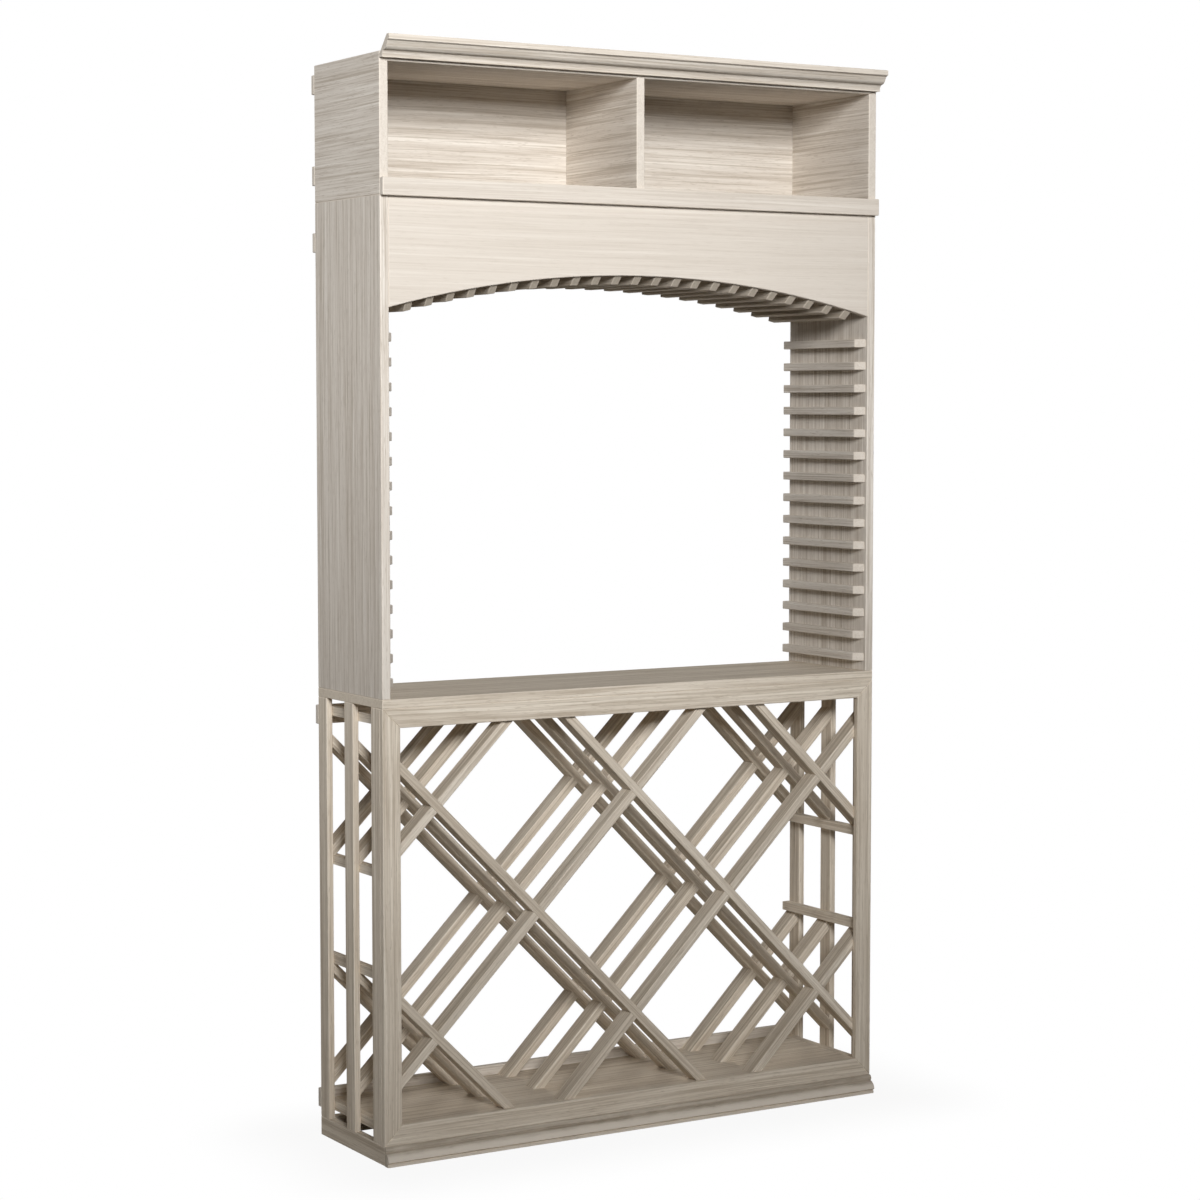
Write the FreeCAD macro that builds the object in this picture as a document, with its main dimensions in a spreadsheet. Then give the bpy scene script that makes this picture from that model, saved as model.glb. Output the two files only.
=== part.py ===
"""Wine tasting station of washed oak boards, made in three tiers.

A base of posts and a mitred face frame holds a diamond lattice in three layers. A
table board lies on it, and two uprights with a slatted arch stand on the table. They
carry a two-bin top box with a lip rail and a crown moulding.

The frame has +Z up, +X to the right and the front facing -Y. The origin is on the
floor, in the middle of the width and of the depth over everything.
"""
import FreeCAD
import Part
import Sketcher

import os
import re

# Driving dimensions, in millimetres.
SIZES = {
    "width": 1160.0,  # over the posts, the uprights and the top box
    "case_depth": 285.0,  # from the front faces to the rear edges
    "board": 18.0,  # thickness of panels, shelves and lattice strips
    "slim": 13.0,  # thickness of posts, face frame, lip rail and back rails
    "eased_edge": 1.2,  # bevel along the edges of every board
    "plinth_height": 38.0,
    "frame_height": 850.0,  # face frame, from the plinth to the table
    "frame_width": 38.0,  # width of a stile or rail of the face frame
    "post_width": 38.0,  # depth of a post and of its lattice layer
    "side_rail": 18.0,  # square rails that tie the posts of a side
    "side_rail_gap": 17.5,  # from the plinth to the lowest rail, and at the table
    "rail_bearing": 5.0,  # how far a strip end is notched over a middle rail
    "cell_pitch": 456.0,  # from one lattice crossing to the next, level
    "upright_height": 960.0,
    "arch_drop": 212.5,  # from the top box to the ends of the arch
    "arch_rise": 72.0,
    "batten": 17.0,  # square section of wall cleats and arch slats
    "batten_pitch": 47.3,
    "batten_inset": 6.5,  # from the front faces to the bevelled end of a batten
    "slat_seat": 0.1,  # between the flat top of a slat and the curve above it
    "cleat_gap": 21.0,  # from the table to the first cleat
    "box_height": 268.0,
    "rebate": 6.0,  # depth of the rebates and housings in the top box
    "back_panel": 6.0,
    "lip_height": 34.0,
    "lip_drop": 2.0,  # how far the lip rail reaches below the box
    "back_rail": 38.0,  # height of a back rail
    "arch_rail_drop": 59.0,  # from the top box down to the rail behind the arch
    "box_rail_lift": 34.0,  # from the foot of the top box to its lower rail
    "crown_reach": 41.0,
    "crown_rise": 28.0,  # above the top box
    "crown_drop": 13.0,  # below the top of the box
    "crown_foot": 12.6,  # depth of the lowest fillet
    "crown_seat": 6.0,  # height of the edge that is fixed to the box
    "crown_fascia": 10.0,
    "crown_top": 9.0,  # depth of the flat top edge
    "crown_step": 6.0,  # from the front to the step under the fascia
    "crown_step_fall": 2.5,
    "crown_round_inset": 9.6,  # from the front to the top of the round
    "crown_round_fall": 8.0,  # from the fascia down to the top of the round
    "crown_round_radius": 14.0,
    "crown_cove": 5.0,  # depth of the hollow between foot and round
    "crown_cove_radius": 14.0,
    "mould_reach": 17.0,  # base moulding
    "mould_cap_reach": 6.0,
    "mould_cap_height": 7.0,
    "mould_groove_reach": 3.7,
    "mould_groove_fall": 5.5,
    "mould_belly_foot": 10.0,  # height of the fullest point above the floor
    "mould_belly_radius": 17.0,
    "mould_quirk_reach": 11.4,
    "mould_quirk_height": 6.3,
    "mould_foot_reach": 14.0,
    "mould_foot_height": 5.0,
}

# Places that follow from the driving dimensions. A place may use those above it.
PLACES = {
    "half": "width / 2",
    "front": "(crown_reach - case_depth - slim) / 2",
    "rear": "front + case_depth",
    "table_underside": "plinth_height + frame_height",
    "table_level": "table_underside + board",
    "bay_half": "half - slim",
    "layer_step": "(case_depth - slim - post_width) / 2",
    "lattice_level": "plinth_height + frame_height / 2",
    "strip_spacing": "cell_pitch / sqrt(2)",
    "strip_count": "2 * floor((bay_half + frame_height / 2) / cell_pitch + 1 / 2)",
    "strip_first": "(1 - strip_count) / 2 * strip_spacing",
    "strip_reach": "width + frame_height",
    "floor_underside": "plinth_height + side_rail_gap",
    "floor_level": "floor_underside + side_rail",
    "rail_top_level": "table_underside - side_rail_gap",
    "strip_foot": "3 / 2 * cell_pitch - bay_half - board / sqrt(2)",
    "rail_offset": "max(strip_foot + rail_bearing; side_rail)",
    "box_foot": "table_level + upright_height",
    "box_top": "box_foot + box_height",
    "clear_half": "half - board",
    "springing": "upright_height - arch_drop",
    "spring_level": "table_level + springing",
    "arch_radius": "(clear_half ^ 2 + arch_rise ^ 2) / (2 * arch_rise)",
    "arch_centre": "spring_level + arch_rise - arch_radius",
    "slat_angle": "batten_pitch / arch_radius * 180 / pi",
    "arch_half_run": "arch_radius * (asin(clear_half / arch_radius) / (1 rad))",
    "slats_per_half": "floor((arch_half_run - 3 / 2 * batten) / batten_pitch)",
    "slat_radius": "arch_radius - slat_seat",
    "cleat_room": "springing - 2 * cleat_gap - batten",
    "batten_run": "case_depth - batten_inset",
    "inner_depth": "case_depth - back_panel",
}

os.makedirs("parts", exist_ok=True)
doc = FreeCAD.newDocument("tasting_station")
sheet = doc.addObject("Spreadsheet::Sheet", "Sizes")
for line, (name, size) in enumerate(SIZES.items(), start=1):
    sheet.set(f"A{line}", name)
    sheet.set(f"B{line}", str(size))
    sheet.setAlias(f"B{line}", name)
doc.recompute()

pieces = []


def sized(expression):
    """An expression with every place and dimension spelt as a cell of the sheet."""
    def spell(match):
        word = match.group(0)
        if word in SIZES:
            return f"{sheet.Name}.{word}"
        if word in PLACES:
            return f"({sized(PLACES[word])})"
        return word

    return re.sub(r"[a-z][a-z_]*", spell, expression)


def value(expression):
    return float(sheet.evalExpression(sized(expression)))


def bind(thing, **expressions):
    for name, expression in expressions.items():
        thing.setExpression(name, sized(expression))


def place(thing, x, y, z):
    for axis, expression in zip("xyz", (x, y, z)):
        thing.setExpression(f"Placement.Base.{axis}", sized(expression))


def new_body(label):
    body = doc.addObject("PartDesign::Body", label)
    body.Label = label
    return body


def keep(piece):
    """Hand a finished piece to the list of parts."""
    pieces.append(piece)
    return piece


def origin_feature(body, role):
    return next(part for part in body.Origin.OriginFeatures if part.Role == role)


def ease(body):
    """Bevel every edge of what the body holds so far."""
    bevel = body.newObject("PartDesign::Chamfer", body.Name + "_bevel")
    bevel.Base = (body.Group[-2], [""])
    bevel.UseAllEdges = True
    bind(bevel, Size="eased_edge")


def board(label, corner, length, width, height):
    """Square-edged board with bevelled edges, given by its lowest corner."""
    body = new_body(label)
    blank = body.newObject("PartDesign::AdditiveBox", label + "_blank")
    bind(blank, Length=length, Width=width, Height=height)
    ease(body)
    place(body, *corner)
    return keep(body)


def housing(body, corner, length, width, height):
    """Box-shaped cut in a board, measured from the board's own corner."""
    cut = body.newObject("PartDesign::SubtractiveBox", body.Name + "_housing")
    bind(cut, Length=length, Width=width, Height=height)
    place(cut, *corner)
    return cut


def arc_middle(start, end, radius, side):
    """Point halfway along an arc that bulges to the left (1) or right (-1) of its chord."""
    chord = end - start
    sagitta = radius - (radius ** 2 - (chord.Length / 2) ** 2) ** 0.5
    across = FreeCAD.Vector(-chord.y, chord.x, 0).normalize()
    return (start + end) * 0.5 + across * (sagitta * side)


def outline(body, plane, corners, arcs=None):
    """Closed sketch on one of the body's origin planes.

    The corners are pairs of expressions. arcs maps the run that starts at a corner to
    the expression of its radius and the side that it bulges to.
    """
    arcs = arcs or {}
    sketch = body.newObject("Sketcher::SketchObject", body.Name + "_outline")
    sketch.AttachmentSupport = [(origin_feature(body, plane), "")]
    sketch.MapMode = "FlatFace"
    points = [FreeCAD.Vector(value(u), value(v), 0) for u, v in corners]
    ends = []
    for run, start in enumerate(points):
        end = points[(run + 1) % len(points)]
        curve = Part.LineSegment(start, end)
        if run in arcs:
            radius, side = arcs[run]
            curve = Part.Arc(start, arc_middle(start, end, value(radius), side), end)
        sketch.addGeometry(curve, False)
        ends.append(sorted((1, 2), key=lambda end: sketch.getPoint(run, end).distanceToPoint(start)))
    for run, corner in enumerate(corners):
        after = (run + 1) % len(points)
        sketch.addConstraint(Sketcher.Constraint("Coincident", run, ends[run][1], after, ends[after][0]))
        for kind, expression in zip(("DistanceX", "DistanceY"), corner):
            distance = Sketcher.Constraint(kind, -1, 1, run, ends[run][0], value(expression))
            index = sketch.addConstraint(distance)
            sketch.setExpression(f"Constraints[{index}]", sized(expression))
    for run, (radius, side) in arcs.items():
        index = sketch.addConstraint(Sketcher.Constraint("Radius", run, value(radius)))
        sketch.setExpression(f"Constraints[{index}]", sized(radius))
    return sketch


def eased_section(left, foot, right, top):
    """Corners of a rectangle whose four corners are bevelled."""
    bevel = "eased_edge"
    return [
        (f"{left} + {bevel}", foot),
        (f"{right} - {bevel}", foot),
        (right, f"{foot} + {bevel}"),
        (right, f"{top} - {bevel}"),
        (f"{right} - {bevel}", top),
        (f"{left} + {bevel}", top),
        (left, f"{top} - {bevel}"),
        (left, f"{foot} + {bevel}"),
    ]


def pad(body, sketch, length, backwards=False, centred=False):
    """Solid from a sketch. Backwards turns an XZ sketch's pad towards +Y."""
    solid = body.newObject("PartDesign::Pad", body.Name + "_pad")
    solid.Profile = sketch
    solid.Reversed = backwards
    solid.Midplane = centred
    bind(solid, Length=length)
    return solid


def row(body, feature, axis, pitch, count):
    """Repeat a feature, or all of the body where it is None, along one of its own axes."""
    pattern = body.newObject("PartDesign::LinearPattern", body.Name + "_row")
    if feature:
        pattern.Originals = [feature]
    else:
        pattern.TransformMode = "Whole shape"
    pattern.Direction = (origin_feature(body, axis), [""])
    pattern.Mode = "Spacing"
    bind(pattern, Offset=pitch, Occurrences=count)
    body.Tip = pattern
    return pattern


# Plinth: two side boards with a front and a rear rail between them, open below.
for side, x in (("left", "-half"), ("right", "half - board")):
    board(f"plinth_{side}", (x, "front", "0"), "board", "case_depth", "plinth_height")
for end, y in (("front", "front"), ("rear", "rear - board")):
    board(f"plinth_{end}", ("board - half", y, "0"), "width - 2 * board", "board", "plinth_height")

# Base moulding: cap, groove, full belly, quirk and square foot, glued to the plinth.
base_moulding = new_body("base_moulding")
base_profile = outline(
    base_moulding,
    "YZ_Plane",
    [
        ("0", "plinth_height"),
        ("-mould_cap_reach", "plinth_height - mould_cap_height"),
        ("-mould_groove_reach", "plinth_height - mould_cap_height - mould_groove_fall"),
        ("-mould_reach", "mould_belly_foot"),
        ("-mould_quirk_reach", "mould_quirk_height"),
        ("-mould_foot_reach", "mould_foot_height"),
        ("-mould_foot_reach", "0"),
        ("0", "0"),
    ],
    {0: ("mould_cap_height + mould_cap_reach / 2", -1), 2: ("mould_belly_radius", -1)},
)
pad(base_moulding, base_profile, "width", centred=True)
place(base_moulding, "0", "front", "0")
keep(base_moulding)

# Posts: three slim posts a side, one for each layer of the lattice.
LAYERS = ("front", "middle", "rear")
layer_places = {name: f"front + slim + {index} * layer_step" for index, name in enumerate(LAYERS)}
for side, x in (("left", "-half"), ("right", "half - slim")):
    for layer, y in layer_places.items():
        board(f"post_{side}_{layer}", (x, y, "plinth_height"), "slim", "post_width", "frame_height")

# Side rails: square rails screwed across the posts from inside. The middle two sit
# where the outermost strips end, the others near the plinth and the table.
RAIL_LEVELS = {
    "bottom": "floor_underside",
    "lower": "lattice_level - rail_offset",
    "upper": "lattice_level + rail_offset - side_rail",
    "top": "rail_top_level - side_rail",
}
side_rails = []
for side, x in (("left", "-bay_half"), ("right", "bay_half - side_rail")):
    for level, z in RAIL_LEVELS.items():
        rail = doc.addObject("Part::Box", f"side_rail_{side}_{level}")
        rail.Label = rail.Name
        bind(rail, Length="side_rail", Width="case_depth - slim", Height="side_rail")
        place(rail, x, "front + slim", z)
        side_rails.append(keep(rail))

# Bin floor: one board between the lowest side rails.
board(
    "bin_floor",
    ("side_rail - bay_half", "front + slim", "floor_underside"),
    "2 * (bay_half - side_rail)",
    "case_depth - slim",
    "side_rail",
)

# Room for the lattice: between the posts, the bin floor and the table, less the rails.
bay = doc.addObject("Part::Box", "lattice_bay")
bind(bay, Length="2 * bay_half", Width="case_depth", Height="table_underside - floor_level")
place(bay, "-bay_half", "front", "floor_level")
rail_set = doc.addObject("Part::Compound", "rail_set")
rail_set.Links = side_rails
lattice_room = doc.addObject("Part::Cut", "lattice_room")
lattice_room.Base = bay
lattice_room.Tool = rail_set


def lattice(layer, direction, turn, lap_side):
    """Parallel strips of one layer, half-lapped for the strips that cross them.

    They are drawn level about the middle of the bay and turned by 45 degrees, then
    trimmed to the room between posts, floor, table and rails. lap_side is the depth
    at which the notches start: 0 for the front half, half the depth for the rear.
    """
    strips = new_body(f"strips_{layer}_{direction}")
    section = outline(
        strips,
        "YZ_Plane",
        eased_section("0", "strip_first - board / 2", "post_width", "strip_first + board / 2"),
    )
    strip = pad(strips, section, "strip_reach", centred=True)
    row(strips, strip, "Z_Axis", "strip_spacing", "strip_count")
    lap = housing(
        strips,
        ("strip_first - board / 2", lap_side, "-strip_reach / 2"),
        "board",
        "post_width / 2",
        "strip_reach",
    )
    row(strips, lap, "X_Axis", "strip_spacing", "strip_count")
    strips.Placement = FreeCAD.Placement(
        FreeCAD.Vector(), FreeCAD.Rotation(FreeCAD.Vector(0, 1, 0), turn)
    )
    place(strips, "0", layer_places[layer], "lattice_level")
    trimmed = doc.addObject("Part::Common", f"lattice_{layer}_{direction}")
    trimmed.Label = trimmed.Name
    trimmed.Base = strips
    trimmed.Tool = lattice_room
    keep(trimmed)


# Diamond lattice: falling strips run through in front, rising strips behind them.
for layer in LAYERS:
    lattice(layer, "rising", -45, "0")
    lattice(layer, "falling", 45, "post_width / 2")


def frame_member(label, corners):
    """Member of the face frame, mitred at its ends, drawn as seen from the front."""
    member = new_body(label)
    pad(member, outline(member, "XZ_Plane", corners), "slim", backwards=True)
    ease(member)
    place(member, "0", "front", "0")
    keep(member)


# Face frame: two stiles and two rails, mitred at the corners.
for side, sign in (("left", "-1"), ("right", "1")):
    outer = f"{sign} * half"
    inner = f"{sign} * (half - frame_width)"
    frame_member(
        f"frame_{side}_stile",
        [
            (outer, "plinth_height"),
            (inner, "plinth_height + frame_width"),
            (inner, "table_underside - frame_width"),
            (outer, "table_underside"),
        ],
    )
for end, outer, inner in (
    ("bottom", "plinth_height", "plinth_height + frame_width"),
    ("top", "table_underside", "table_underside - frame_width"),
):
    frame_member(
        f"frame_{end}_rail",
        [("-half", outer), ("half", outer), ("half - frame_width", inner), ("frame_width - half", inner)],
    )

# Table board, laid on the posts and the face frame.
board("table_top", ("-half", "front", "table_underside"), "width", "case_depth", "board")

# Uprights: one panel a side, from the table to the top box.
for side, x in (("left", "-half"), ("right", "half - board")):
    board(f"upright_{side}", (x, "front", "table_level"), "board", "case_depth", "upright_height")


def first_batten(label, plane, corners):
    """Body with one square batten, drawn from the side that shows its bevelled end."""
    body = new_body(label)
    pad(body, outline(body, plane, corners), "batten", centred=True)
    ease(body)
    doc.recompute()
    return body


# Wall cleats: a column of battens across each upright. Their front ends are cut at 45
# degrees, away from the wall, and their rear ends are flush with the upright.
for side, wall, tip in (("left", "-clear_half", "batten"), ("right", "clear_half", "-batten")):
    column = first_batten(
        f"cleats_{side}",
        "XY_Plane",
        [("0", "0"), (tip, "batten"), (tip, "batten_run"), ("0", "batten_run")],
    )
    row(column, None, "Z_Axis", "batten_pitch", "1 + floor(cleat_room / batten_pitch)")
    place(column, wall, "front + batten_inset", "table_level + cleat_gap + batten / 2")
    keep(column)

# Arch: the front panel closes the gap up to the top box. The rear board has the same
# round lower edge and is held by the rail behind it.
for label, y, top in (
    ("arch_panel", "front", "box_foot"),
    ("arch_rear_board", "rear - board", "box_foot - arch_rail_drop"),
):
    panel = new_body(label)
    corners = [
        ("-clear_half", "spring_level"),
        ("clear_half", "spring_level"),
        ("clear_half", top),
        ("-clear_half", top),
    ]
    pad(panel, outline(panel, "XZ_Plane", corners, {0: ("arch_radius", 1)}), "board", backwards=True)
    ease(panel)
    place(panel, "0", y, "0")
    keep(panel)

# Arch slats: battens nailed up under both boards, fanned about the arch's centre. Their
# front ends are cut at 45 degrees as on the walls.
slats = first_batten(
    "arch_slats",
    "YZ_Plane",
    [
        ("0", "slat_radius"),
        ("batten", "slat_radius - batten"),
        ("batten_run", "slat_radius - batten"),
        ("batten_run", "slat_radius"),
    ],
)
fan = slats.newObject("PartDesign::PolarPattern", "arch_slats_fan")
fan.TransformMode = "Whole shape"
fan.Axis = (origin_feature(slats, "Y_Axis"), [""])
fan.Mode = "Spacing"
bind(fan, Offset="slat_angle", Occurrences="1 + 2 * slats_per_half")
slats.Tip = fan
slats.Placement = FreeCAD.Placement(FreeCAD.Vector(), FreeCAD.Rotation(FreeCAD.Vector(0, 1, 0), -1))
slats.setExpression("Placement.Rotation.Angle", sized("-slats_per_half * slat_angle"))
place(slats, "0", "front + batten_inset", "arch_centre")
keep(slats)

# Top box: sides rebated for the floor, the top and the back, and a housed divider.
for side, x, inner in (("left", "-half", "board - rebate"), ("right", "half - board", "0")):
    box_side = board(f"box_{side}_side", (x, "front", "box_foot"), "board", "case_depth", "box_height")
    housing(box_side, (inner, "0", "0"), "rebate", "case_depth", "board")
    housing(box_side, (inner, "0", "box_height - board"), "rebate", "case_depth", "board")
    housing(box_side, (inner, "inner_depth", "0"), "rebate", "back_panel", "box_height")
for level, z, groove in (("floor", "box_foot", "board - rebate"), ("top", "box_top - board", "0")):
    shelf = board(
        f"box_{level}",
        ("-clear_half - rebate", "front", z),
        "2 * (clear_half + rebate)",
        "inner_depth",
        "board",
    )
    housing(shelf, ("clear_half + rebate - board / 2", "0", groove), "board", "inner_depth", "rebate")
board(
    "box_divider",
    ("-board / 2", "front", "box_foot + board - rebate"),
    "board",
    "inner_depth",
    "box_height - 2 * (board - rebate)",
)
board(
    "box_back",
    ("-clear_half - rebate", "rear - back_panel", "box_foot"),
    "2 * (clear_half + rebate)",
    "back_panel",
    "box_height",
)

# Lip rail across the front of the bins.
board("lip_rail", ("-half", "front - slim", "box_foot - lip_drop"), "width", "slim", "lip_height")

# Crown: sprung moulding with foot, cove, round, step and fascia, open behind.
crown = new_body("crown_moulding")
crown_profile = outline(
    crown,
    "YZ_Plane",
    [
        ("0", "-crown_drop"),
        ("0", "crown_seat - crown_drop"),
        ("crown_top - crown_reach", "crown_rise"),
        ("-crown_reach", "crown_rise"),
        ("-crown_reach", "crown_rise - crown_fascia"),
        ("crown_step - crown_reach", "crown_rise - crown_fascia - crown_step_fall"),
        ("crown_round_inset - crown_reach", "crown_rise - crown_fascia - crown_round_fall"),
        ("-crown_foot - crown_cove", "0"),
        ("-crown_foot", "-crown_drop"),
    ],
    {6: ("crown_round_radius", -1), 7: ("crown_cove_radius", 1)},
)
pad(crown, crown_profile, "width", centred=True)
place(crown, "0", "front", "box_top")
keep(crown)

# Back rails: screwed across the rear of the base, the arch and the top box.
BACK_RAILS = {
    "base_bottom": "floor_underside",
    "base_top": "rail_top_level - back_rail",
    "arch": "box_foot - arch_rail_drop - back_rail",
    "box_bottom": "box_foot + box_rail_lift",
    "box_top": "box_top - board - back_rail",
}
for level, z in BACK_RAILS.items():
    board(f"back_rail_{level}", ("-half", "rear", z), "width", "slim", "back_rail")

doc.recompute()
for thing in doc.Objects:
    if {"Invalid", "Error"} & set(thing.State):
        raise RuntimeError(f"{thing.Label} did not recompute: {thing.State}")
for piece in pieces:
    if piece.Shape.isNull() or not piece.Shape.isValid() or not piece.Shape.Solids:
        raise RuntimeError(f"{piece.Label} has no valid solid")
for piece in pieces:
    piece.Shape.exportStep(f"parts/{piece.Label}.step")
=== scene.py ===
"""Looks of the tasting station: washed oak on every board, a pale studio and the camera."""
import math

import bpy
import numpy as np
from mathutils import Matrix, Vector


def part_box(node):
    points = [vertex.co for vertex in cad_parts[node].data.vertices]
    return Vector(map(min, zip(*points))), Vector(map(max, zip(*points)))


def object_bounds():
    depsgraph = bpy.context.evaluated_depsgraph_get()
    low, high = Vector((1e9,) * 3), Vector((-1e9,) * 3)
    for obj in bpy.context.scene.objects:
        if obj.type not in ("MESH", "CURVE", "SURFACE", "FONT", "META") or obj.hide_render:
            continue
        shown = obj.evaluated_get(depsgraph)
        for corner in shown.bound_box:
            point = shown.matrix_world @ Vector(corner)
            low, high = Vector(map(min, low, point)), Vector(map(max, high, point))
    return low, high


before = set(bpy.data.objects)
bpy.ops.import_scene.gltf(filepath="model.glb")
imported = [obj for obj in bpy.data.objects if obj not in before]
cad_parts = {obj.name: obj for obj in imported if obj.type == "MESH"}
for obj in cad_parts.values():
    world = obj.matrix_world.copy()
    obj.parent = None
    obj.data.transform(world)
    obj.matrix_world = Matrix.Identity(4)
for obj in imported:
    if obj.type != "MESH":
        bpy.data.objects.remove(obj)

cad_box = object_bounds()

# Plinth: two side boards with a front and a rear rail between them, low under the base.
# Straight-grained oak, washed grey-beige, a shade warmer in the base. Butted, glued, pinned.
# Shared by all boards and made here: the wash, the grain, and pale edges of wear and painted highlight.


def shader_group(name, inputs, outputs):
    """Empty shader group with named sockets, given as (name, socket type) pairs."""
    group = bpy.data.node_groups.new(name, "ShaderNodeTree")
    for socket, kind in inputs:
        group.interface.new_socket(socket, in_out="INPUT", socket_type=kind)
    for socket, kind in outputs:
        group.interface.new_socket(socket, in_out="OUTPUT", socket_type=kind)
    return group, group.nodes.new("NodeGroupInput"), group.nodes.new("NodeGroupOutput")


def node(tree, kind, inputs=(), **settings):
    """New shader node. Each input is (socket, value or the output socket that feeds it)."""
    made = tree.nodes.new("ShaderNode" + kind)
    for name, setting in settings.items():
        setattr(made, name, setting)
    for socket, feed in inputs:
        if isinstance(feed, bpy.types.NodeSocket):
            tree.links.new(feed, made.inputs[socket])
        else:
            made.inputs[socket].default_value = feed
    return made


def maths(tree, operation, *terms):
    """Result of one scalar operation on values or sockets."""
    return node(tree, "Math", list(enumerate(terms)), operation=operation).outputs[0]


def vectors(tree, operation, *terms):
    """Result of one vector operation on vectors or sockets."""
    return node(tree, "VectorMath", list(enumerate(terms)), operation=operation).outputs[0]


def ramped(tree, value, start, end, low=0.0, high=1.0):
    """Value taken smoothly from low at start to high at end."""
    spans = [("Value", value), ("From Min", start), ("From Max", end), ("To Min", low), ("To Max", high)]
    return node(tree, "MapRange", spans, interpolation_type="SMOOTHSTEP").outputs[0]


def blended(tree, share, first, second):
    """Colour that goes from first to second as share goes from 0 to 1.

    The colour sockets of a Mix node come after those for values and vectors, at 6 and 7.
    """
    return node(tree, "Mix", [(0, share), (6, first), (7, second)], data_type="RGBA").outputs[2]


def stretched_noise(tree, vector, along, across, detail=2.0):
    """Noise drawn out along x: along and across are its cells per metre."""
    scaled = vectors(tree, "MULTIPLY", vector, (along, across, across))
    cells = [("Vector", scaled), ("Scale", 1.0), ("Detail", detail), ("Roughness", 0.6)]
    return node(tree, "TexNoise", cells)


def oak_figure_group():
    """Grain of one board whose length lies along x, in metres.

    Two slow noises bend the grain sideways. Bands, streaks and fibres are noises drawn out
    along x to 50 times their width and more, and Figure is their weighted sum. Of the noises
    for caught wash and open pores only the peaks are kept.
    """
    group, given, result = shader_group(
        "oak_figure",
        [("Vector", "NodeSocketVector")],
        [("Figure", "NodeSocketFloat"), ("Wash", "NodeSocketFloat"), ("Pore", "NodeSocketFloat")],
    )
    bent = given.outputs["Vector"]
    for along, across, sway in ((0.8, 3.0, 0.020), (4.0, 16.0, 0.0018)):
        bend = stretched_noise(group, given.outputs["Vector"], along, across, detail=1.0).outputs["Color"]
        aside = vectors(group, "SUBTRACT", bend, (0.5, 0.5, 0.5))
        bent = vectors(group, "ADD", bent, vectors(group, "MULTIPLY", aside, (0.0, sway, sway)))
    figure = 0.0
    for along, across, weight in ((0.6, 30.0, 0.18), (1.3, 150.0, 0.38), (5.0, 360.0, 0.44)):
        streak = stretched_noise(group, bent, along, across).outputs[0]
        figure = maths(group, "MULTIPLY_ADD", streak, weight, figure)
    spread = node(group, "MapRange", [("Value", figure), ("From Min", 0.40), ("From Max", 0.60)])
    caught = stretched_noise(group, bent, along=2.0, across=150.0).outputs[0]
    pores = stretched_noise(group, bent, along=40.0, across=800.0, detail=1.0).outputs[0]
    group.links.new(spread.outputs[0], result.inputs["Figure"])
    group.links.new(ramped(group, caught, 0.54, 0.72), result.inputs["Wash"])
    group.links.new(ramped(group, pores, 0.60, 0.72), result.inputs["Pore"])
    return group


def wear_and_highlight_edge_group():
    """Mask of a board's edges, from its distances to the nearest face along three axes.

    Near an edge two of the three distances are small, so the middle one of them tells how
    far the edge is. Noise breaks the line up as uneven wear would. The pale line is partly
    edge wear and partly a painted highlight where the edges catch the light.
    """
    group, given, result = shader_group(
        "wear_and_highlight_edge",
        [("Inset", "NodeSocketVector"), ("Vector", "NodeSocketVector"), ("Width", "NodeSocketFloat")],
        [("Mask", "NodeSocketFloat")],
    )
    axes = node(group, "SeparateXYZ", [(0, given.outputs["Inset"])]).outputs
    low = maths(group, "MINIMUM", axes[0], axes[1])
    high = maths(group, "MAXIMUM", axes[0], axes[1])
    middle = maths(group, "MAXIMUM", low, maths(group, "MINIMUM", high, axes[2]))
    wear = stretched_noise(group, given.outputs["Vector"], along=18.0, across=60.0, detail=3.0)
    reach = maths(group, "MULTIPLY", wear.outputs[0], given.outputs["Width"])
    group.links.new(ramped(group, middle, reach, 0.0), result.inputs["Mask"])
    return group


OAK_FIGURE = oak_figure_group()
WEAR_AND_HIGHLIGHT_EDGE = wear_and_highlight_edge_group()
EDGE_WIDTH = 0.006
SAWN_REACH = 0.0018
SAWN_SHARE = 0.65
CAUGHT_SHARE = 0.7
PORE_SHARE = 0.45
BATTEN_VARIATION = 0.36
BATTEN_OFFSET = (0.83, 1.37, 2.11)
WASH_TONES = {0.0: (0.550, 0.485, 0.412), 0.5: (0.700, 0.638, 0.565), 1.0: (0.780, 0.722, 0.650)}
WASH_CAUGHT = np.array((0.90, 0.85, 0.78))
# Pale tone for edge wear, used also as a painted highlight on edges and on the fronts of mouldings.
WASH_WEAR_AND_HIGHLIGHT = np.array((0.87, 0.795, 0.695))
WASH_END = np.array((0.715, 0.652, 0.575))
PORE_BROWN = np.array((0.40, 0.335, 0.265))
TURNS = {
    "x": (0.0, 0.0, 0.0),
    "y": (0.0, 0.0, -math.pi / 2),
    "z": (0.0, math.pi / 2, 0.0),
    "rising": (0.0, math.pi / 4, 0.0),
    "falling": (0.0, -math.pi / 4, 0.0),
}
board_tones = np.random.default_rng(28)


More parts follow.
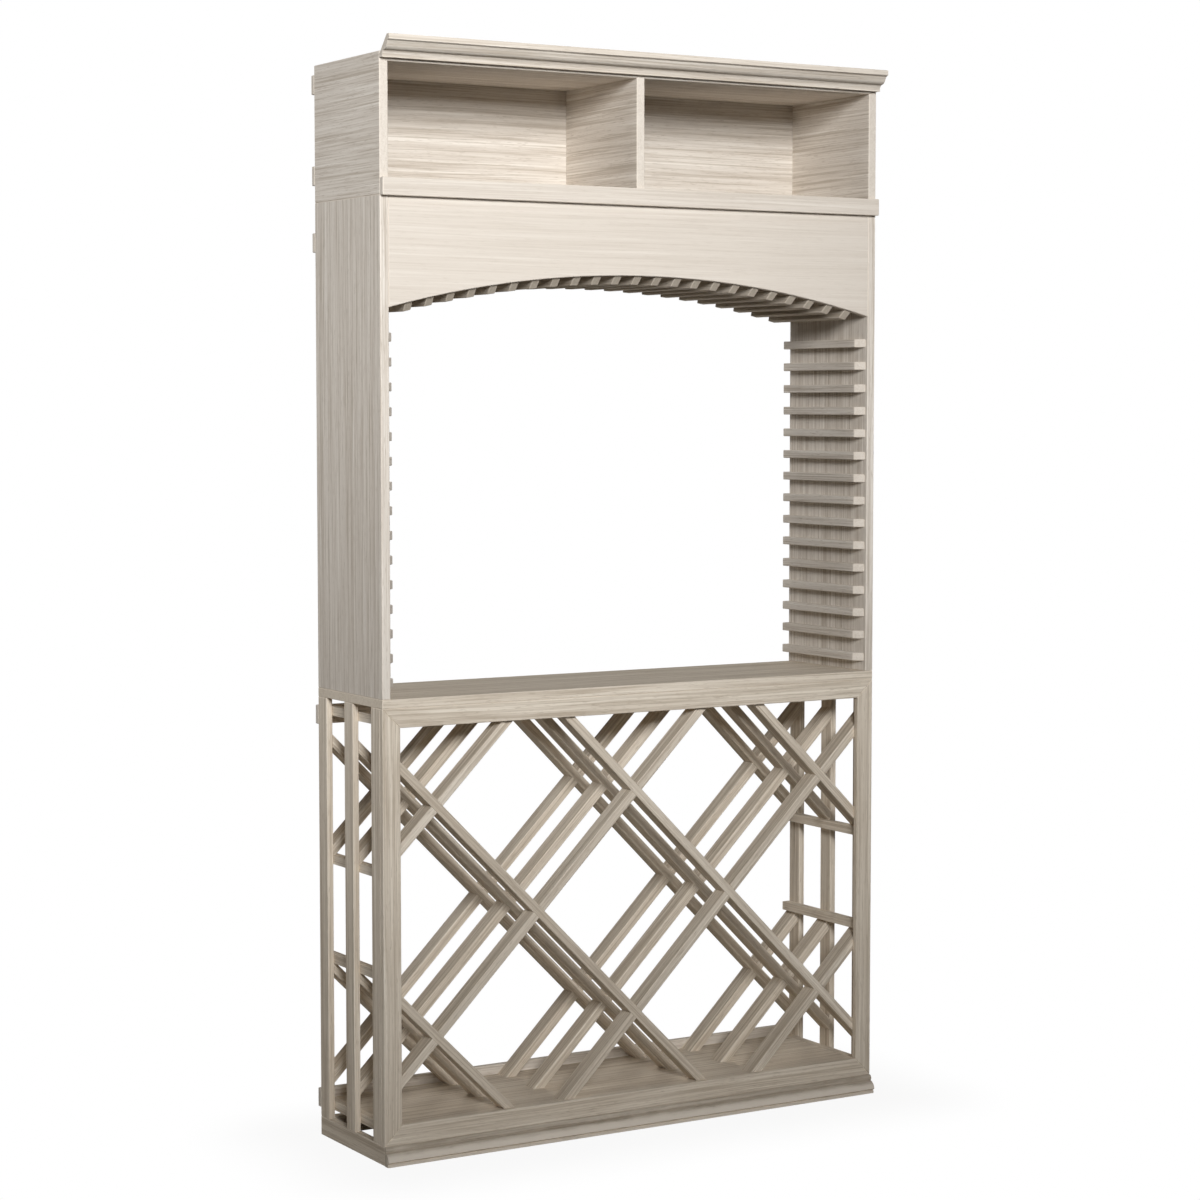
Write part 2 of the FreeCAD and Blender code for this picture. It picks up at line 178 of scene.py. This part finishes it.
def washed_oak(name, grain, layout, figured=1.1, rubbed=0.3, tone=(1.0, 1.0, 1.0)):
    """Washed oak with its grain along x, y, z or a lattice strip.

    The grain's place in the log and the depth of the wash differ from board to board.
    figured tells how strongly the grain shows, rubbed how pale the edges are,
    partly as edge wear and partly as a painted highlight, and tone dims or warms the whole
    board. layout gives the distances to the faces and to the sawn ends, where these show, and
    the number of each batten in a row, so that no two of them are alike.
    """
    material = bpy.data.materials.new(name)
    material.use_nodes = True
    tree = material.node_tree
    shader = tree.nodes["Principled BSDF"]
    place = node(tree, "TexCoord").outputs["Object"]
    faces, ends, number = layout(tree, place)
    log = tuple(board_tones.uniform(-9.0, 9.0, 3))
    shade = board_tones.uniform(0.985, 1.015) * np.array(tone)
    turn = [("Vector", place), ("Rotation", TURNS[grain]), ("Location", log)]
    length = node(tree, "Mapping", turn).outputs[0]
    if number:
        other = node(tree, "VectorMath", [(0, BATTEN_OFFSET), ("Scale", number)], operation="SCALE")
        length = vectors(tree, "ADD", length, other.outputs[0])
    figure = node(tree, "Group", node_tree=OAK_FIGURE)
    tree.links.new(length, figure.inputs["Vector"])
    depth = maths(tree, "MULTIPLY_ADD", figure.outputs["Figure"], figured, 0.5 - figured / 2)
    if number:
        pick = node(tree, "TexWhiteNoise", [("W", number)], noise_dimensions="1D").outputs[0]
        change = maths(tree, "MULTIPLY_ADD", pick, BATTEN_VARIATION, -BATTEN_VARIATION / 2)
        depth = maths(tree, "ADD", depth, change)
    wash = node(tree, "ValToRGB", [("Fac", depth)])
    wash.color_ramp.elements.new(0.5)
    for stop, (position, colour) in zip(wash.color_ramp.elements, WASH_TONES.items()):
        stop.position = position
        stop.color = (*(np.array(colour) * shade), 1.0)
    caught = maths(tree, "MULTIPLY", figure.outputs["Wash"], CAUGHT_SHARE * figured)
    colour = blended(tree, caught, wash.outputs["Color"], (*(WASH_CAUGHT * shade), 1.0))
    pore = maths(tree, "MULTIPLY", figure.outputs["Pore"], PORE_SHARE * figured)
    colour = blended(tree, pore, colour, (*(PORE_BROWN * shade), 1.0))
    if ends:
        sawn = ramped(tree, ends, SAWN_REACH, SAWN_REACH / 3, 0.0, SAWN_SHARE)
        colour = blended(tree, sawn, colour, (*(WASH_END * shade), 1.0))
    if faces:
        edge = node(tree, "Group", node_tree=WEAR_AND_HIGHLIGHT_EDGE)
        tree.links.new(faces, edge.inputs["Inset"])
        tree.links.new(length, edge.inputs["Vector"])
        edge.inputs["Width"].default_value = EDGE_WIDTH
        # Pale edges: edge wear and a painted highlight.
        wear_and_highlight_share = maths(tree, "MULTIPLY", edge.outputs["Mask"], rubbed)
        colour = blended(tree, wear_and_highlight_share, colour, (*WASH_WEAR_AND_HIGHLIGHT, 1.0))
    tree.links.new(colour, shader.inputs["Base Color"])
    shader.inputs["Specular IOR Level"].default_value = 0.14
    tree.links.new(ramped(tree, depth, 0.0, 1.0, 0.84, 0.70), shader.inputs["Roughness"])
    hollow = maths(tree, "MULTIPLY_ADD", figure.outputs["Pore"], -1.0, depth)
    relief = [("Height", hollow), ("Strength", 0.30), ("Distance", 0.0005)]
    tree.links.new(node(tree, "Bump", relief).outputs[0], shader.inputs["Normal"])
    return material


def box_layout(name, grain):
    """Distances from a point to the faces of a board's box, and to its ends along the grain."""
    low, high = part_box(name)
    axis = [float(grain == letter) for letter in "xyz"]

    def build(tree, place):
        inner = vectors(tree, "SUBTRACT", place, tuple(low))
        outer = vectors(tree, "SUBTRACT", tuple(high), place)
        faces = vectors(tree, "MINIMUM", inner, outer)
        ends = node(tree, "VectorMath", [(0, faces), (1, axis)], operation="DOT_PRODUCT")
        return faces, ends.outputs["Value"], None

    return build


def dress(name, material):
    """Give a CAD board its finish."""
    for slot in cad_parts[name].material_slots:
        slot.material = material


def oak_board(name, grain, **finish):
    """Square-edged board: grain along one axis, sawn ends, pale edges of wear and painted highlight."""
    dress(name, washed_oak("oak_" + name, grain, box_layout(name, grain), **finish))


BASE_TONE = (1.025, 0.995, 0.935)
for side in ("left", "right"):
    oak_board(f"plinth_{side}", "y", tone=BASE_TONE)
for end in ("front", "rear"):
    oak_board(f"plinth_{end}", "x", tone=BASE_TONE)

# Base moulding: cap, groove, belly and foot run on one length of oak.
# Planed to its profile along the grain, then glued along the plinth's front.
# Its tone is dimmed as painted shade in the groove; the proud belly is painted pale as a painted
# highlight.


def oak_moulding(name, proud, **finish):
    """Length of moulding with its grain along x. Its proud parts, in front, are painted paler as a
    highlight.
    """
    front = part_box(name)[0][1]

    def layout(tree, place):
        depth = maths(tree, "SUBTRACT", node(tree, "SeparateXYZ", [(0, place)]).outputs[1], front)
        sunk = maths(tree, "MULTIPLY", depth, EDGE_WIDTH / 2 / proud)
        faces = node(tree, "CombineXYZ", [(0, 0.0), (1, sunk), (2, 1.0)]).outputs[0]
        return faces, box_layout(name, "x")(tree, place)[1], None

    dress(name, washed_oak("oak_" + name, "x", layout, **finish))


oak_moulding("base_moulding", 0.013, rubbed=1.0, tone=(0.77, 0.74, 0.69))

# Posts: three slim upright boards a side, one for each lattice layer.
# Ripped along the grain and nailed to the plinth below and the table above.
LAYERS = ("front", "middle", "rear")
for side in ("left", "right"):
    for layer in LAYERS:
        oak_board(f"post_{side}_{layer}", "z", tone=BASE_TONE)

# Side rails: square battens across the posts, four a side.
# Screwed from inside, where the lattice strips rest on the middle two.
for side in ("left", "right"):
    for level in ("bottom", "lower", "upper", "top"):
        oak_board(f"side_rail_{side}_{level}", "y", tone=BASE_TONE)

# Bin floor: one board between the lowest side rails, under the diamonds.
# Plain oak panel with its grain across the station, glued between the rails.
oak_board("bin_floor", "x", tone=BASE_TONE)

# Diamond lattice: strips half-lapped at right angles, in three layers.
# The falling strips run through in front and the rising ones behind them.
STRIP = 0.018
STRIP_SPACING = 0.456 / math.sqrt(2)
LATTICE_LEVEL = 0.463


def strip_layout(name, grain):
    """Distances to a strip's long faces, across it and in depth, and the strip's number."""
    low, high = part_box(name)

    def build(tree, place):
        centred = (0.0, 0.0, -LATTICE_LEVEL / math.sqrt(2))
        turn = [("Vector", place), ("Rotation", TURNS[grain]), ("Location", centred)]
        axes = node(tree, "SeparateXYZ", [(0, node(tree, "Mapping", turn).outputs[0])]).outputs
        strips = maths(tree, "DIVIDE", axes[2], STRIP_SPACING)
        off = maths(tree, "SUBTRACT", maths(tree, "FRACT", strips), 0.5)
        away = maths(tree, "ABSOLUTE", off)
        across = maths(tree, "MULTIPLY_ADD", away, -STRIP_SPACING, STRIP / 2)
        front = maths(tree, "SUBTRACT", axes[1], low[1])
        back = maths(tree, "SUBTRACT", high[1], axes[1])
        depth = maths(tree, "MINIMUM", front, back)
        faces = node(tree, "CombineXYZ", [(0, 1.0), (1, depth), (2, across)]).outputs[0]
        return faces, None, maths(tree, "FLOOR", strips)

    return build


for layer in LAYERS:
    for grain in ("rising", "falling"):
        name = f"lattice_{layer}_{grain}"
        dress(name, washed_oak("oak_" + name, grain, strip_layout(name, grain), tone=BASE_TONE))

# Face frame: two oak stiles and two rails, mitred and glued at the corners.
# It is pinned to the front posts. The grain follows each member and turns at the mitres.
for side in ("left", "right"):
    oak_board(f"frame_{side}_stile", "z", tone=BASE_TONE)
for end in ("bottom", "top"):
    oak_board(f"frame_{end}_rail", "x", tone=BASE_TONE)

# Table board: the counter at elbow height, laid on the posts and the face frame.
# One wide panel, its grain along the counter and its front edge square.
oak_board("table_top", "x", tone=BASE_TONE)

# Uprights: one tall oak panel a side, from the table to the top box.
# Grain upright, screwed on through the table. Front edges flush with the arch panel.
for side in ("left", "right"):
    oak_board(f"upright_{side}", "z")

# Wall cleats: a ladder of battens across the inner face of each upright.
# Sawn from the same oak, glued and pinned, with their front ends cut at 45 degrees.
BATTEN = 0.017
BATTEN_PITCH = 0.0473
BATTEN_START = -0.122


def batten_faces(tree, place, rear, sunk, inward, across, number):
    """Layout of one batten that runs back from a bevelled end.

    sunk is the depth from its seat, inward the distance to the face opposite the seat, and
    across the distance to the nearer side. The bevel leaves the seat at 45 degrees.
    """
    along = node(tree, "SeparateXYZ", [(0, place)]).outputs[1]
    start = maths(tree, "SUBTRACT", maths(tree, "SUBTRACT", along, BATTEN_START), sunk)
    front = maths(tree, "MULTIPLY", start, math.sqrt(0.5))
    ends = maths(tree, "MINIMUM", front, maths(tree, "SUBTRACT", rear, along))
    thick = maths(tree, "MINIMUM", sunk, inward)
    faces = node(tree, "CombineXYZ", [(0, thick), (1, ends), (2, across)]).outputs[0]
    return faces, ends, number


def cleat_layout(name, seat, facing):
    """Layout of a ladder of battens: its height is wrapped by the pitch of the ladder."""
    low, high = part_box(name)

    def build(tree, place):
        axes = node(tree, "SeparateXYZ", [(0, place)]).outputs
        sunk = maths(tree, "MULTIPLY", maths(tree, "SUBTRACT", axes[0], seat), facing)
        inward = maths(tree, "SUBTRACT", BATTEN, sunk)
        rungs = maths(tree, "DIVIDE", maths(tree, "SUBTRACT", axes[2], low[2]), BATTEN_PITCH)
        height = maths(tree, "MULTIPLY", maths(tree, "FRACT", rungs), BATTEN_PITCH)
        across = maths(tree, "MINIMUM", height, maths(tree, "SUBTRACT", BATTEN, height))
        number = maths(tree, "FLOOR", rungs)
        return batten_faces(tree, place, high[1], sunk, inward, across, number)

    return build


for side, facing in (("left", 1.0), ("right", -1.0)):
    name = f"cleats_{side}"
    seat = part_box(name)[0 if side == "left" else 1][0]
    dress(name, washed_oak("oak_" + name, "y", cleat_layout(name, seat, facing)))

# Arch: a front panel and a rear board, both cut to the same shallow arc.
# Wide boards with the grain across, sawn along the curve and sanded.
# The arch panel's grain is drawn faint, painting how the bright light on its front washes it out.
oak_board("arch_panel", "x", figured=0.3)
oak_board("arch_rear_board", "x")

# Arch slats: battens nailed up under both arch boards and fanned along the curve.
# They are the same stock as the wall cleats, with the same bevelled front ends.
# Their tone is dimmed as painted shade under the arch boards.
ARCH_RADIUS = 2.22936
ARCH_CENTRE = -0.50386


def slat_layout(tree, place):
    """Layout of the fan: distance from the arch's centre, and angle wrapped by the pitch."""
    axes = node(tree, "SeparateXYZ", [(0, place)]).outputs
    height = maths(tree, "SUBTRACT", axes[2], ARCH_CENTRE)
    angle = maths(tree, "ARCTAN2", axes[0], height)
    squared = maths(tree, "MULTIPLY_ADD", axes[0], axes[0], maths(tree, "POWER", height, 2.0))
    radius = maths(tree, "SQRT", squared)
    sunk = maths(tree, "SUBTRACT", ARCH_RADIUS, radius)
    inward = maths(tree, "SUBTRACT", BATTEN, sunk)
    steps = maths(tree, "MULTIPLY", angle, ARCH_RADIUS / BATTEN_PITCH)
    number = maths(tree, "ROUND", steps)
    away = maths(tree, "ABSOLUTE", maths(tree, "SUBTRACT", steps, number))
    across = maths(tree, "MULTIPLY_ADD", away, -BATTEN_PITCH, BATTEN / 2)
    return batten_faces(tree, place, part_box("arch_slats")[1][1], sunk, inward, across, number)


# Painted shade: the slats are dimmed for the shade they lie in under the arch.
SLAT_PAINTED_SHADE = (0.74, 0.72, 0.68)
dress("arch_slats", washed_oak("oak_arch_slats", "y", slat_layout, tone=SLAT_PAINTED_SHADE))

# Top box: two sides, floor, top and divider, rebated and housed together.
# Sides with their grain along the depth, shelves along the width, a thin back in a rebate.
for side in ("left", "right"):
    oak_board(f"box_{side}_side", "y")
for level in ("floor", "top"):
    oak_board(f"box_{level}", "x")
oak_board("box_divider", "y")
# The thin back is dimmed to the darker tone of ply, which also serves as painted shade inside the bins.
oak_board("box_back", "x", tone=(0.87, 0.87, 0.87))

# Lip rail: a flat board across the foot of the bins, proud of the box.
# Nailed to the edges of the floor and the sides.
# Its grain is drawn faint, painting how the bright light on its front washes it out.
oak_board("lip_rail", "x", figured=0.4)

# Crown: sprung moulding with fascia, round and cove, along the top front edge.
# Run on one length, cut square at the ends.
# Dimmed a little as painted shade on the round and cove, its proud fascia painted paler as a painted
# highlight.
oak_moulding("crown_moulding", 0.012, rubbed=0.25, tone=(0.96, 0.96, 0.95))

# Back rails: flat boards screwed across the rear of the base, the arch and the box.
# They keep the station square and stand it off the wall.
for level in ("base_bottom", "base_top", "arch", "box_bottom", "box_top"):
    oak_board(f"back_rail_{level}", "x")

# Studio floor: a wide pale sheet, white to the eye away from the station.
# Near the plinth it keeps the soft shadow of what stands on it,
# and a band around the plinth is painted darker as painted contact shadow.
FLOOR_REACH = 30.0
FLOOR_DROP = 0.0004
SHADOW_REACH = 0.30
SHADOW_SHARE = 0.07
corners = np.array(((-1, -1), (1, -1), (1, 1), (-1, 1))) * FLOOR_REACH
floor_mesh = bpy.data.meshes.new("studio_floor")
floor_mesh.from_pydata(np.column_stack((corners, np.full(4, -FLOOR_DROP))).tolist(), [], [(0, 1, 2, 3)])
floor = bpy.data.objects.new("studio_floor", floor_mesh)
bpy.context.scene.collection.objects.link(floor)


def seen_directly(tree):
    """1 for rays that show the surroundings to the eye: seen, mirrored or passed through."""
    path = node(tree, "LightPath").outputs
    mirrored = maths(tree, "MAXIMUM", path["Is Camera Ray"], path["Is Glossy Ray"])
    return maths(tree, "MAXIMUM", mirrored, path["Is Transmission Ray"])


floor_paint = bpy.data.materials.new("studio_floor")
floor_paint.use_nodes = True
floor_tree = floor_paint.node_tree
floor_tree.nodes.clear()
pale = node(floor_tree, "BsdfDiffuse", [("Color", (0.52, 0.48, 0.43, 1.0))])
white = node(floor_tree, "Emission", [("Color", (1.0, 1.0, 1.0, 1.0)), ("Strength", 1.0)])
floor_place = node(floor_tree, "TexCoord").outputs["Object"]
footprint = (cad_box[1][0], cad_box[1][1], 1.0)
beyond = vectors(floor_tree, "SUBTRACT", vectors(floor_tree, "ABSOLUTE", floor_place), footprint)
outside = vectors(floor_tree, "MAXIMUM", beyond, (0.0, 0.0, 0.0))
away = node(floor_tree, "VectorMath", [(0, outside)], operation="LENGTH").outputs["Value"]
# Painted contact shadow: nearer the plinth more of the dim floor shows.
fade = ramped(floor_tree, away, 0.0, SHADOW_REACH, 1.0 - SHADOW_SHARE, 1.0)
shown = maths(floor_tree, "MULTIPLY", seen_directly(floor_tree), fade)
floor_mix = node(floor_tree, "MixShader", [(0, shown), (1, pale.outputs[0]), (2, white.outputs[0])])
node(floor_tree, "OutputMaterial", [("Surface", floor_mix.outputs[0])])
floor_mesh.materials.append(floor_paint)

# Studio light: one soft lamp ahead on the left, aimed high so that the base is dimmer,
# a weak one beside the left panel and one behind on the right for the rear boards.
# A dim even surround fills the shadows, and shows white where it is seen.
SURROUND = 0.03


def soft_lamp(name, place, target, size, power, spread=180.0, colour=(1.0, 1.0, 1.0)):
    """Square lamp that faces its target, with its beam's spread in degrees, unseen itself."""
    lamp = bpy.data.lights.new(name, "AREA")
    lamp.size = size
    lamp.energy = power
    lamp.color = colour
    lamp.spread = math.radians(spread)
    lamp_object = bpy.data.objects.new(name, lamp)
    facing = Vector(target) - Vector(place)
    lamp_object.location = place
    lamp_object.rotation_euler = facing.to_track_quat("-Z", "Y").to_euler()
    lamp_object.visible_camera = False
    lamp_object.visible_glossy = False
    bpy.context.scene.collection.objects.link(lamp_object)


soft_lamp("lamp_key", (-2.55, -6.94, 3.8), (-0.3, 0.0, 2.08), size=2.0, power=41.0, spread=40.0)
soft_lamp("lamp_side", (-7.3, 0.0, 2.2), (-0.58, 0.0, 1.7), size=1.0, power=5.4, spread=36.0)
REAR_WARMTH = (1.0, 0.97, 0.93)
soft_lamp("lamp_rear", (2.6, 5.6, 1.5), (0.0, 0.0, 1.1), size=2.0, power=170.0, colour=REAR_WARMTH)
world = bpy.data.worlds.new("surround")
bpy.context.scene.world = world
world.use_nodes = True
world_tree = world.node_tree
world_tree.nodes.clear()
dim = node(world_tree, "Background", [("Color", (1.0, 0.94, 0.86, 1.0)), ("Strength", SURROUND)])
bright = node(world_tree, "Background", [("Color", (1.0, 1.0, 1.0, 1.0)), ("Strength", 1.0)])
seen = seen_directly(world_tree)
world_mix = node(world_tree, "MixShader", [(0, seen), (1, dim.outputs[0]), (2, bright.outputs[0])])
node(world_tree, "OutputWorld", [("Surface", world_mix.outputs[0])])

# Camera: standing height, ahead and to the left of the station, looking a little down.
# A long lens, with everything sharp.
camera = bpy.data.cameras.new("camera")
camera.lens = 85.0
camera.sensor_width = 36.0
camera_object = bpy.data.objects.new("camera", camera)
camera_object.location = (-3.0054, -4.9562, 1.4721)
camera_object.rotation_euler = (math.radians(86.026), 0.0, math.radians(-31.085))
bpy.context.scene.collection.objects.link(camera_object)
bpy.context.scene.camera = camera_object
bpy.context.scene.view_settings.view_transform = "Standard"
